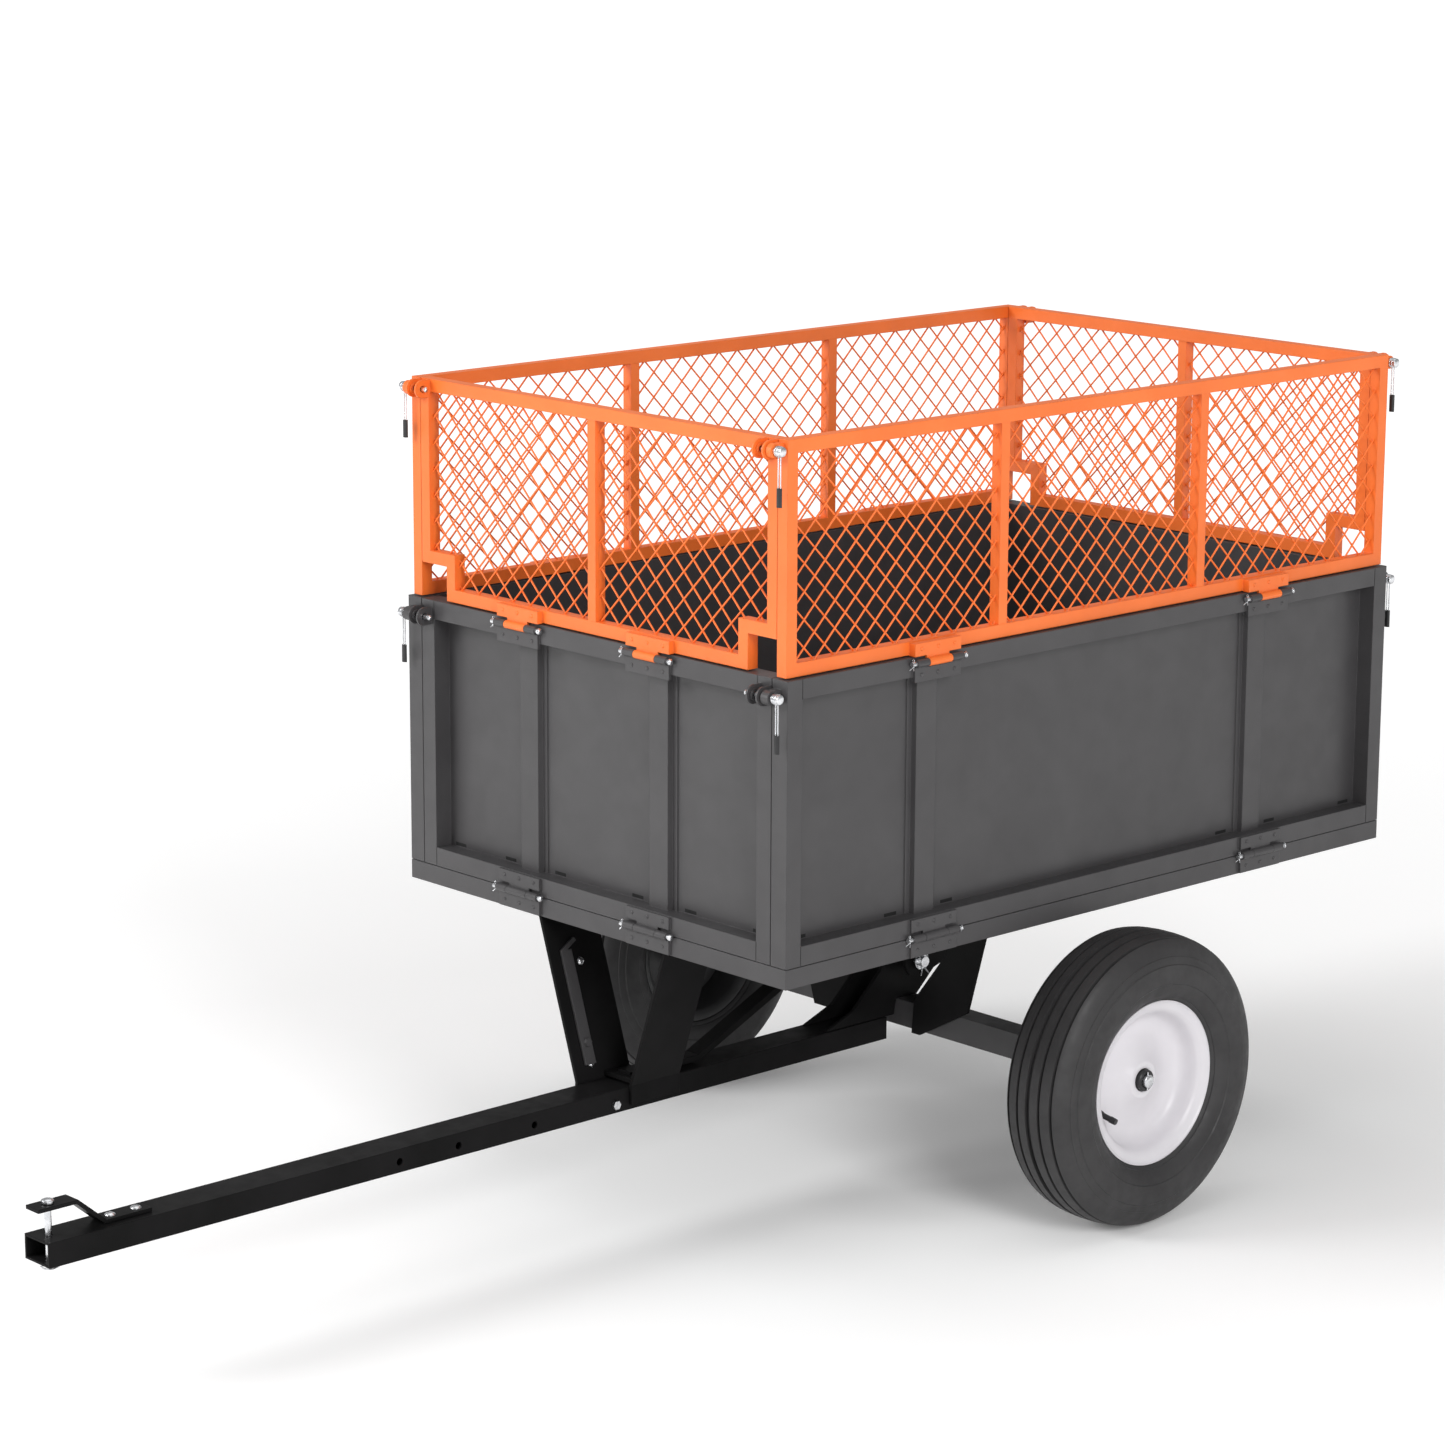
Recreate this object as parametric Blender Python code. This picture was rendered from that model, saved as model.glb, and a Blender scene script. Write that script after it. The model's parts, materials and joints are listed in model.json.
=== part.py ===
"""Tow-behind yard cart with drop sides, mesh extension panels and a tilting bed.

Metres, +Z up, Z = 0 under the tyres. The cart is towed towards -Y and its left
side faces +X. Every moving piece has its origin on its own joint's axis.
"""

import math

import bmesh
import bpy
from mathutils import Matrix, Vector

# ---- driving dimensions -------------------------------------------------------------
# Heights below are measured from a level a little under the ground; build() lowers the
# finished pieces by GROUND_Z, so that the tyres stand on Z = 0.
BED_Y = 0.4625  # station that bed, struts and drawbar are measured from; centres the cart on Y = 0
TYRE_R = 0.203
TYRE_HALF_W = 0.058
WHEEL_X = 0.452  # middle of the tyre
AXLE_Y = BED_Y - 0.044  # wheel centre line
AXLE_Z = 0.2225
GROUND_Z = AXLE_Z - TYRE_R
RIM_R = 0.1132

BED_HALF_W = 0.379
BED_FRONT = BED_Y - 0.6205
BED_REAR = BED_Y + 0.5595
BED_MID_Y = (BED_FRONT + BED_REAR) / 2
BED_LENGTH = BED_REAR - BED_FRONT
TUBE = 0.026  # square tube of the floor frame and drop panels
FLOOR_BOTTOM = 0.4395
FLOOR_TOP = FLOOR_BOTTOM + TUBE
PANEL_GAP = 0.001
PANEL_BOTTOM = FLOOR_TOP + PANEL_GAP
PANEL_TOP = 0.8405
SHEET = 0.002
PANEL_DEPTH = TUBE + SHEET
END_PANEL_HALF = BED_HALF_W - PANEL_DEPTH - 0.0015

MESH_TUBE = 0.0175
MESH_BOTTOM = PANEL_TOP + 0.002
MESH_TOP = 1.144
MESH_END_INSET = 0.0045
MESH_SIDE_INSET = 0.0073
MESH_SIDE_HALF = BED_LENGTH / 2 - MESH_END_INSET
MESH_END_HALF = BED_HALF_W - MESH_SIDE_INSET - MESH_TUBE - 0.001
NOTCH_X = 0.3005  # outer face of the foot beside the notched lower corners
NOTCH_TOP = 0.890

HINGE_OUT = 0.006  # hinge pin in front of the panel's outer face
LOWER_PIN_Z = 0.466
UPPER_PIN_Z = 0.833
KNUCKLE_R = 0.0055
PIN_R = 0.0026
KNUCKLE_BORE_R = 0.0034
LEAF_HALF = 0.042
LEAF_REACH = 0.0255
KNUCKLE_HALF = 0.0205
FRONT_HINGES = (-0.142, 0.119)
SIDE_HINGES = (-0.3265, 0.3265)

LATCH_OUT = 0.013  # latch pin in front of the end panel's outer face
BLACK_LATCH_Z = 0.819
MESH_LATCH_Z = 1.131
EAR_R = 0.0125
LATCH_R = 0.0035
LATCH_BORE_R = 0.0044

ROPE_R = 0.0009
ROPE_SPREAD = 0.0021
ROPE_DROP = 0.058
SLEEVE_TOP = 0.046  # below the latch pin's axis
SLEEVE_BOTTOM = 0.070

BAR_HALF_W = 0.026
BAR_BOTTOM = 0.187
BAR_TOP = 0.219
BAR_WALL = 0.003
BAR_FRONT = BED_Y - 1.505
BAR_REAR = BED_Y - 0.086
HITCH_Y = BED_Y - 1.488
BEAM_HALF = 0.019
BEAM_END = 0.384
BEAM_TOP = AXLE_Z + BEAM_HALF
PIVOT_Z = 0.2995
LUG_X = 0.0190
LUG_T = 0.005
WEB_X = 0.040
LEVER_PIVOT_Y = BED_Y - 0.594
LEVER_PIVOT_Z = 0.270
STRUT_LEAN = 0.34  # sideways run of a strut for each metre of rise
STRUT_FOOT_Z = 0.222
STRUT_X = 0.0272
STRUT_T = 0.005

COLOURS = {
    "black_powder": ((0.035, 0.034, 0.035, 1.0), 0.42, 0.0),
    "orange_powder": ((0.90, 0.19, 0.025, 1.0), 0.38, 0.0),
    "bright_zinc": ((0.72, 0.73, 0.75, 1.0), 0.28, 1.0),
    "tyre_rubber": ((0.020, 0.020, 0.021, 1.0), 0.75, 0.0),
    "rim_paint": ((0.72, 0.70, 0.73, 1.0), 0.35, 0.0),
    "bush_plastic": ((0.012, 0.012, 0.013, 1.0), 0.50, 0.0),
    "steel_rope": ((0.62, 0.63, 0.65, 1.0), 0.32, 1.0),
    "sleeve_plastic": ((0.010, 0.010, 0.011, 1.0), 0.55, 0.0),
}


# ---- small modelling tools ----------------------------------------------------------
def clear_scene():
    for obj in list(bpy.data.objects):
        bpy.data.objects.remove(obj, do_unlink=True)


def material(name):
    found = bpy.data.materials.get(name)
    if found:
        return found
    colour, roughness, metallic = COLOURS[name]
    made = bpy.data.materials.new(name)
    made.use_nodes = True
    shader = made.node_tree.nodes["Principled BSDF"]
    shader.inputs["Base Color"].default_value = colour
    shader.inputs["Roughness"].default_value = roughness
    shader.inputs["Metallic"].default_value = metallic
    return made


def from_bmesh(bm, name="piece"):
    bmesh.ops.recalc_face_normals(bm, faces=bm.faces)
    mesh = bpy.data.meshes.new(name)
    bm.to_mesh(mesh)
    bm.free()
    obj = bpy.data.objects.new(name, mesh)
    bpy.context.scene.collection.objects.link(obj)
    return obj


def block(x, y, z):
    """A box between the (low, high) pairs x, y and z."""
    bm = bmesh.new()
    bmesh.ops.create_cube(bm, size=1.0)
    size = Vector((x[1] - x[0], y[1] - y[0], z[1] - z[0]))
    middle = Vector((x[0] + x[1], y[0] + y[1], z[0] + z[1])) / 2
    bmesh.ops.scale(bm, vec=size, verts=bm.verts)
    bmesh.ops.translate(bm, vec=middle, verts=bm.verts)
    return from_bmesh(bm)


def axis_turn(axis):
    """The turn that takes local Z to the named axis."""
    if axis == "X":
        return Matrix.Rotation(math.pi / 2, 4, "Y")
    if axis == "Y":
        return Matrix.Rotation(-math.pi / 2, 4, "X")
    return Matrix.Identity(4)


def rod(axis, centre, radius, low, high, sides=16):
    """A cylinder along an axis; centre gives the other two coordinates in order."""
    bm = bmesh.new()
    bmesh.ops.create_cone(
        bm, cap_ends=True, segments=sides, radius1=radius, radius2=radius, depth=high - low
    )
    middle = (low + high) / 2
    places = {
        "X": (middle, centre[0], centre[1]),
        "Y": (centre[0], middle, centre[1]),
        "Z": (centre[0], centre[1], middle),
    }
    bmesh.ops.transform(bm, matrix=Matrix.Translation(places[axis]) @ axis_turn(axis), verts=bm.verts)
    return from_bmesh(bm)


def prism(axis, outline, low, high):
    """An outline in the plane across the axis, drawn out from low to high."""
    bm = bmesh.new()
    corners = {
        "X": lambda a, b: (low, a, b),
        "Y": lambda a, b: (a, low, b),
        "Z": lambda a, b: (a, b, low),
    }
    ring = [bm.verts.new(corners[axis](a, b)) for a, b in outline]
    face = bm.faces.new(ring)
    drawn = bmesh.ops.extrude_face_region(bm, geom=[face])
    moved = [v for v in drawn["geom"] if isinstance(v, bmesh.types.BMVert)]
    shift = {"X": (high - low, 0, 0), "Y": (0, high - low, 0), "Z": (0, 0, high - low)}
    bmesh.ops.translate(bm, vec=shift[axis], verts=moved)
    return from_bmesh(bm)


def turned(profile, sides):
    """A closed outline of (x, radius) points spun once about the X axis."""
    bm = bmesh.new()
    ring = [bm.verts.new((x, 0.0, -r)) for x, r in profile]
    edges = [bm.edges.new((a, b)) for a, b in zip(ring, ring[1:] + ring[:1])]
    bmesh.ops.spin(
        bm, geom=ring + edges, cent=(0, 0, 0), axis=(1, 0, 0), angle=2 * math.pi, steps=sides
    )
    bmesh.ops.remove_doubles(bm, verts=bm.verts, dist=1e-6)
    return from_bmesh(bm)


def combine(base, others, operation):
    for other in others:
        step = base.modifiers.new(operation.lower(), "BOOLEAN")
        step.operation = operation
        step.solver = "EXACT"
        step.object = other
    graph = bpy.context.evaluated_depsgraph_get()
    mesh = bpy.data.meshes.new_from_object(base.evaluated_get(graph))
    base.modifiers.clear()
    base.data = mesh
    for other in others:
        bpy.data.objects.remove(other, do_unlink=True)
    return base


def fuse(parts):
    return combine(parts[0], parts[1:], "UNION")


def drill(base, cutters):
    return combine(base, cutters, "DIFFERENCE")


def tidy(obj):
    """Merge faces that lie in one plane, so that the solid has no needless edges."""
    bm = bmesh.new()
    bm.from_mesh(obj.data)
    bmesh.ops.remove_doubles(bm, verts=bm.verts, dist=2e-6)
    bmesh.ops.dissolve_limit(bm, angle_limit=0.002, verts=bm.verts, edges=bm.edges)
    bmesh.ops.triangulate(bm, faces=[f for f in bm.faces if len(f.verts) > 4])
    bmesh.ops.recalc_face_normals(bm, faces=bm.faces)
    bm.to_mesh(obj.data)
    bm.free()


def finish(obj, name, finish_name, place=None, turn=0.0):
    """Name a piece, paint it, and put its own frame in the world."""
    tidy(obj)
    obj.name = name
    obj.data.name = name
    obj.data.materials.clear()
    obj.data.materials.append(material(finish_name))
    if place is not None:
        obj.location = place
    obj.rotation_euler = (0.0, 0.0, turn)
    return obj


def about(obj, pivot):
    """Give a piece that was modelled in world places its origin on a pivot."""
    obj.data.transform(Matrix.Translation(-Vector(pivot)))
    return Vector(pivot)


# ---- hinges, in a panel's own frame --------------------------------------------------
# The frame's origin is on the lower hinge pins: X along the panel, Y inwards, Z up.
def moving_leaf(u, pin_z, face_v):
    """The leaf above the pin with its middle knuckle."""
    front = HINGE_OUT - 0.004
    plate = block((u - LEAF_HALF, u + LEAF_HALF), (front, face_v + 0.0005), (pin_z + 0.0085, pin_z + LEAF_REACH))
    neck = block((u - KNUCKLE_HALF, u + KNUCKLE_HALF), (front, 0.0055), (pin_z + 0.0036, pin_z + 0.0095))
    knuckle = rod("X", (0.0, pin_z), KNUCKLE_R, u - KNUCKLE_HALF, u + KNUCKLE_HALF, 14)
    bore = rod("X", (0.0, pin_z), KNUCKLE_BORE_R, u - KNUCKLE_HALF - 0.01, u + KNUCKLE_HALF + 0.01, 14)
    return [plate, neck, drill(knuckle, [bore])]


def fixed_leaf(u, pin_z):
    """The leaf below the pin with its two outer knuckles and the pin itself."""
    front = HINGE_OUT - 0.004
    near = KNUCKLE_HALF + 0.0007
    parts = [
        block((u - LEAF_HALF, u + LEAF_HALF), (front, HINGE_OUT + 0.0005), (pin_z - LEAF_REACH, pin_z - 0.0065))
    ]
    for side in (-1, 1):
        low, high = sorted((u + side * near, u + side * LEAF_HALF))
        parts.append(block((low, high), (front, 0.0055), (pin_z - 0.0075, pin_z - 0.0020)))
        parts.append(rod("X", (0.0, pin_z), KNUCKLE_R, low, high, 14))
    parts.append(rod("X", (0.0, pin_z), PIN_R, u - LEAF_HALF - 0.004, u + LEAF_HALF + 0.004, 10))
    return parts


def latch_ears(half, face_v, z, sign):
    """Two round ears at one end of a front or rear panel, bored for the latch pin."""
    centre = (face_v - LATCH_OUT, z)
    parts = []
    for outer in (half, half - 0.018):
        low, high = sorted((sign * outer, sign * (outer - 0.003)))
        parts.append(rod("X", centre, EAR_R, low, high, 20))
        parts.append(block((low, high), (centre[0], face_v + 0.0005), (z - EAR_R * 0.98, z + EAR_R * 0.98)))
    return parts


def ear_bores(half, face_v, z):
    centre = (face_v - LATCH_OUT, z)
    return [rod("X", centre, LATCH_BORE_R, s * half - 0.03, s * half + 0.03, 16) for s in (-1, 1)]


def latch_catch(half, face_depth, z, end_face, sign):
    """The bored barrel on one end of a side panel.

    end_face is the panel's end along X; the latch pin runs across the panel, along Y.
    """
    centre = (sign * (end_face + LATCH_OUT), z)
    low, high = face_depth
    barrel = rod("Y", centre, 0.0095, low, high, 18)
    a, b = sorted((sign * (end_face - 0.0005), sign * (end_face + 0.008)))
    foot = block((a, b), (low, high), (z - 0.0093, z + 0.0093))
    return [barrel, foot]


# ---- drop panels ---------------------------------------------------------------------
def framed(half, v, z, tube, pocket_depth):
    """A rectangular frame: a block with a window, or with a pocket if it has a back."""
    inside = block((-half + tube, half - tube), (v[0] - 0.01, v[0] + pocket_depth), (z[0] + tube, z[1] - tube))
    return drill(block((-half, half), v, z), [inside])


def drop_panel(name, half, hinges, place, turn, is_end):
    """A framed sheet-metal side of the bed, hinged along its lower edge."""
    pin_up = UPPER_PIN_Z - LOWER_PIN_Z
    z = (PANEL_BOTTOM - LOWER_PIN_Z, PANEL_TOP - LOWER_PIN_Z)
    back = HINGE_OUT + TUBE
    parts = [framed(half, (HINGE_OUT, HINGE_OUT + PANEL_DEPTH), z, TUBE, TUBE)]
    for u in hinges:
        inside = (z[0] + TUBE - 0.002, z[1] - TUBE + 0.002)
        rib = [(u - 0.0275, back + 0.0005), (u - 0.0275, back - 0.002), (u - 0.0195, back - 0.002)]
        rib += [(u - 0.0180, back - 0.010), (u + 0.0180, back - 0.010), (u + 0.0195, back - 0.002)]
        rib += [(u + 0.0275, back - 0.002), (u + 0.0275, back + 0.0005)]
        parts.append(prism("Z", rib, *inside))
        parts += moving_leaf(u, 0.0, HINGE_OUT)
        parts += fixed_leaf(u, pin_up)
    latch_z = BLACK_LATCH_Z - LOWER_PIN_Z
    if is_end:
        for sign in (-1, 1):
            parts += latch_ears(half, HINGE_OUT, latch_z, sign)
        panel = drill(fuse(parts), ear_bores(half, HINGE_OUT, latch_z))
    else:
        depth = (HINGE_OUT + BED_HALF_W - 0.3655, HINGE_OUT + BED_HALF_W - 0.3525)
        for sign in (-1, 1):
            parts += latch_catch(half, depth, latch_z, half, sign)
        bores = [
            rod("Y", (s * (half + LATCH_OUT), latch_z), LATCH_BORE_R, depth[0] - 0.01, depth[1] + 0.01, 16)
            for s in (-1, 1)
        ]
        panel = drill(fuse(parts), bores)
    return finish(panel, name, "black_powder", place, turn)


# ---- mesh panels, in a frame whose origin is on the upper hinge pins -----------------
def notched_outline(half, z, inset):
    """An end mesh panel's outline, with both lower corners cut out, moved inwards."""
    low = z[0] + inset
    high = z[1] - inset
    step = NOTCH_TOP - UPPER_PIN_Z + inset
    inner = NOTCH_X - inset
    outer = half - inset
    right = [(inner, low), (inner, step), (outer, step), (outer, high)]
    return right + [(-u, w) for u, w in reversed(right)]


def mesh_frame(name, half, hinges, inset, place, turn, is_end):
    v0 = HINGE_OUT + inset
    v = (v0, v0 + MESH_TUBE)
    z = (MESH_BOTTOM - UPPER_PIN_Z, MESH_TOP - UPPER_PIN_Z)
    latch_z = MESH_LATCH_Z - UPPER_PIN_Z
    slim = (v0 + 0.0004, v0 + MESH_TUBE / 2 - 0.0018)
    if is_end:
        outer = notched_outline(half, z, 0.0)
        window = prism("Y", notched_outline(half, z, MESH_TUBE), v[0] - 0.01, v[1] + 0.01)
        parts = [drill(prism("Y", outer, *v), [window])]
        for s in (-1, 1):
            parts += latch_ears(half, v0, latch_z, s)
        uprights = (0.0,)
    else:
        parts = [framed(half, v, z, MESH_TUBE, 0.05)]
        uprights = (-half / 3, half / 3)
        depth = (v0 + 0.0077, v0 + 0.0167)
        for s in (-1, 1):
            parts += latch_catch(half, depth, latch_z, half, s)
    for u in uprights:
        parts.append(block((u - 0.0078, u + 0.0078), slim, (z[0] + 0.004, z[1] - 0.004)))
    for u in hinges:
        parts += moving_leaf(u, 0.0, v0)
    if is_end:
        bores = ear_bores(half, v0, latch_z)
    else:
        bores = [
            rod("Y", (s * (half + LATCH_OUT), latch_z), LATCH_BORE_R, depth[0] - 0.01, depth[1] + 0.01, 16)
            for s in (-1, 1)
        ]
    return finish(drill(fuse(parts), bores), name, "orange_powder", place, turn)


def mesh_sheet(name, half, inset, place, turn, is_end):
    """The space that the wire lattice fills, as a thin plate behind the uprights."""
    middle = HINGE_OUT + inset + MESH_TUBE / 2
    v = (middle - 0.0014, middle + 0.0014)
    gap = MESH_TUBE + 0.0004
    z = (MESH_BOTTOM - UPPER_PIN_Z, MESH_TOP - UPPER_PIN_Z)
    if is_end:
        plate = prism("Y", notched_outline(half, z, gap), *v)
    else:
        plate = block((-half + gap, half - gap), v, (z[0] + gap, z[1] - gap))
    return finish(plate, name, "orange_powder", place, turn)


# ---- corner latches ------------------------------------------------------------------
def latch_pin(name, corner, tip_x, inner_x, head_x, y, z):
    """A pull pin: the shank runs inwards through the ears, the head stays outside."""
    sx = corner[0]
    shank = rod("X", (0.0, 0.0), LATCH_R, *sorted((sx * tip_x, sx * (inner_x + 0.001))), 14)
    head = rod("X", (0.0, 0.0), 0.0065, *sorted((sx * inner_x, sx * head_x)), 16)
    pin = fuse([shank, head])
    return finish(pin, name, "bright_zinc", (0.0, y, z))


def rope_route(x, y, z):
    """A rope bight: down from the pin's head, round inside the sleeve, and back up."""
    top = z - 0.0070
    bend = z - ROPE_DROP
    wide = ROPE_SPREAD
    down = [(x - wide, y, top + (bend - top) * i / 9) for i in range(10)]
    low = [(x - wide * 0.74, y, bend - wide * 0.68), (x, y, bend - wide), (x + wide * 0.74, y, bend - wide * 0.68)]
    up = [(x + wide, y, bend + (top - bend) * i / 9) for i in range(10)]
    return down + low + up


def smooth(route, pieces):
    """Points on a smooth curve through the route's own points."""
    spots = [Vector(p) for p in route]
    ends = [spots[0] * 2 - spots[1]] + spots + [spots[-1] * 2 - spots[-2]]
    out = []
    for a, b, c, d in zip(ends, ends[1:], ends[2:], ends[3:]):
        for k in range(pieces):
            t = k / pieces
            pull = (c - a) * t + (a * 2 - b * 5 + c * 4 - d) * t**2 + (b * 3 - a - c * 3 + d) * t**3
            out.append(b + pull / 2)
    return out + [spots[-1]]


def rope(name, route, radius):
    """A round cord as a tube along its route."""
    line = bpy.data.curves.new(name, "CURVE")
    line.dimensions = "3D"
    line.bevel_depth = radius
    line.bevel_resolution = 2
    line.use_fill_caps = True
    points = smooth(route, 1)
    spline = line.splines.new("POLY")
    spline.points.add(len(points) - 1)
    for spot, place in zip(spline.points, points):
        spot.co = (*place, 1.0)
    obj = bpy.data.objects.new(name, line)
    bpy.context.scene.collection.objects.link(obj)
    line.materials.append(material("steel_rope"))
    return obj


def sleeve(name, x, y, z):
    """A flat grip sleeve: an oval tube with a floor, open at the top for the rope."""
    outer = rod("Z", (0.0, 0.0), 1.0, -SLEEVE_BOTTOM, -SLEEVE_TOP, 16)
    outer.data.transform(Matrix.Diagonal((0.0042, 0.0028, 1.0, 1.0)))
    bore = rod("Z", (0.0, 0.0), 1.0, -SLEEVE_BOTTOM + 0.004, -SLEEVE_TOP + 0.01, 16)
    bore.data.transform(Matrix.Diagonal((0.0036, 0.0018, 1.0, 1.0)))
    return finish(drill(outer, [bore]), name, "sleeve_plastic", (x, y, z))


def latches():
    """Pull pins with rope grips on the four corners of both panel tiers."""
    tiers = (
        ("latch", BLACK_LATCH_Z, 0.0, 0.3165, 0.3675, 0.379),
        ("mesh_latch", MESH_LATCH_Z, MESH_END_INSET, 0.3250, 0.3645, 0.376),
    )
    for tier, z, inset, tip, inner, outer in tiers:
        for end, face, sy in (("front", BED_FRONT + inset, -1), ("rear", BED_REAR - inset, 1)):
            for side, sx in (("left", 1), ("right", -1)):
                label = f"{tier}_{end}_{side}"
                y = face + sy * LATCH_OUT
                grip_x = sx * (inner + outer) / 2
                latch_pin(f"{label}_pin", (sx, sy), tip, inner, outer, y, z)
                rope(f"{label}_rope", rope_route(grip_x, y, z), ROPE_R)
                sleeve(f"{label}_sleeve", grip_x, y, z)


# ---- bed -----------------------------------------------------------------------------
PANEL_PLACES = (
    ("front", (0.0, BED_FRONT - HINGE_OUT), 0.0, True),
    ("rear", (0.0, BED_REAR + HINGE_OUT), math.pi, True),
    ("left", (BED_HALF_W + HINGE_OUT, BED_MID_Y), math.pi / 2, False),
    ("right", (-BED_HALF_W - HINGE_OUT, BED_MID_Y), -math.pi / 2, False),
)


def panels():
    for side, (x, y), turn, is_end in PANEL_PLACES:
        hinges = FRONT_HINGES if is_end else SIDE_HINGES
        half = END_PANEL_HALF if is_end else BED_LENGTH / 2
        mesh_half = MESH_END_HALF if is_end else MESH_SIDE_HALF
        inset = MESH_END_INSET if is_end else MESH_SIDE_INSET
        drop_panel(f"{side}_panel", half, hinges, (x, y, LOWER_PIN_Z), turn, is_end)
        mesh_frame(f"{side}_mesh_frame", mesh_half, hinges, inset, (x, y, UPPER_PIN_Z), turn, is_end)
        mesh_sheet(f"{side}_mesh", mesh_half, inset, (x, y, UPPER_PIN_Z), turn, is_end)


def floor_frame():
    """Perimeter rails, cross-members and the fixed halves of the lower hinges."""
    z = (FLOOR_BOTTOM, FLOOR_TOP)
    low = (FLOOR_BOTTOM, FLOOR_TOP - 0.004)
    w, front, rear = BED_HALF_W, BED_FRONT, BED_REAR
    parts = [
        block((-w, w), (front, front + TUBE), z),
        block((-w, w), (rear - TUBE, rear), z),
        block((-w, -w + TUBE), (front, rear), z),
        block((w - TUBE, w), (front, rear), z),
        block((-0.13, 0.13), (front + 0.02, front + 0.15), (FLOOR_BOTTOM, FLOOR_BOTTOM + 0.006)),
    ]
    for y in (BED_Y - 0.483, BED_Y - 0.085, BED_Y + 0.085, BED_Y + 0.33):
        parts.append(block((-w + 0.02, w - 0.02), (y - TUBE / 2, y + TUBE / 2), low))
    for side, (x, y), turn, is_end in PANEL_PLACES:
        for u in FRONT_HINGES if is_end else SIDE_HINGES:
            for piece in fixed_leaf(u, LOWER_PIN_Z):
                piece.data.transform(Matrix.Translation((x, y, 0.0)) @ Matrix.Rotation(turn, 4, "Z"))
                parts.append(piece)
    frame = fuse(parts)
    pivot = (0.0, AXLE_Y, PIVOT_Z)
    return finish(frame, "floor_frame", "black_powder", about(frame, pivot))


def floor_sheet():
    gap = TUBE + 0.0006
    x = (-BED_HALF_W + gap, BED_HALF_W - gap)
    y = (BED_FRONT + gap, BED_REAR - gap)
    plate = block(x, y, (FLOOR_TOP - 0.0036, FLOOR_TOP - 0.0014))
    return finish(plate, "floor_sheet", "black_powder", about(plate, (0.0, AXLE_Y, PIVOT_Z)))


def saddle():
    """Folded plate under the bed, hung on the pivot shaft, with its face ahead of the axle beam."""
    top = FLOOR_BOTTOM - 0.0008
    plate_y = (BED_Y - 0.070, BED_Y - 0.065)
    plate = prism(
        "Y",
        [
            (-0.213, top), (-0.139, 0.200), (-0.039, 0.200), (-0.039, 0.420), (0.125, 0.420),
            (0.125, 0.328), (0.064, 0.250), (0.060, 0.200), (0.076, 0.200), (0.142, 0.237),
            (0.168, 0.252), (0.220, top),
        ],
        *plate_y,
    )
    parts = [plate]
    web = [(-0.068, top), (-0.068, 0.292), (-0.060, 0.2795), (-0.022, 0.2795), (0.030, 0.2950), (0.095, top)]
    outline = [(BED_Y + y, z) for y, z in web]
    for s in (-1, 1):
        parts.append(prism("X", outline, *sorted((s * WEB_X, s * (WEB_X + 0.005)))))
        parts.append(
            block(sorted((s * WEB_X, s * 0.16)), (BED_Y - 0.067, BED_Y + 0.095), (top - 0.004, top))
        )
    body = drill(fuse(parts), [rod("X", (AXLE_Y, PIVOT_Z), 0.0084, -0.08, 0.08, 24)])
    return finish(body, "saddle", "black_powder", about(body, (0.0, AXLE_Y, PIVOT_Z)))


def strut(name, s, y):
    """A plate that leans out from beside the drawbar up to the bed's front rail."""
    run = STRUT_LEAN * (FLOOR_BOTTOM - 0.0008 - STRUT_FOOT_Z)
    top = FLOOR_BOTTOM - 0.0008
    outline = [
        (s * STRUT_X, 0.195),
        (s * (STRUT_X + STRUT_T), 0.195),
        (s * (STRUT_X + STRUT_T), STRUT_FOOT_Z),
        (s * (STRUT_X + STRUT_T + run), top),
        (s * (STRUT_X + run), top),
        (s * STRUT_X, STRUT_FOOT_Z),
    ]
    plate = prism("Y", outline, BED_Y + y[0], BED_Y + y[1])
    return finish(plate, name, "black_powder", about(plate, (0.0, AXLE_Y, PIVOT_Z)))


def strut_brace():
    """A stay from between the struts' feet back up to the cross-member by the pivot."""
    half = 0.0125
    outline = [
        (-0.560, 0.2235), (-0.432, 0.2235), (0.020, 0.4300), (0.097, 0.4300),
        (0.097, 0.4385), (0.012, 0.4385), (-0.436, 0.2325), (-0.560, 0.2325),
    ]
    bar = prism("X", [(BED_Y + y, z) for y, z in outline], -half, half)
    tie = block((-0.0268, 0.0268), (BED_Y - 0.572, BED_Y - 0.528), (0.2228, 0.2290))
    bar = fuse([bar, tie])
    return finish(bar, "strut_brace", "black_powder", about(bar, (0.0, AXLE_Y, PIVOT_Z)))


def tilt_lever():
    """Release lever on the right strut's inner face, turning on a bolt through it."""
    bar = block((-0.002, 0.002), (-0.009, 0.009), (-0.030, 0.128))
    tip = prism("X", [(-0.009, 0.122), (0.020, 0.138), (0.017, 0.143), (-0.009, 0.129)], -0.002, 0.002)
    bolt = rod("X", (0.0, 0.0), 0.006, 0.001, 0.007, 6)
    lever = fuse([bar, tip, bolt])
    lean = math.atan(STRUT_LEAN)
    lever.data.transform(Matrix.Rotation(-lean, 4, "Y"))
    rise = LEVER_PIVOT_Z - STRUT_FOOT_Z
    x = -(STRUT_X + STRUT_LEAN * rise) + 0.0035
    return finish(lever, "tilt_lever", "black_powder", (x, LEVER_PIVOT_Y, LEVER_PIVOT_Z))


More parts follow.
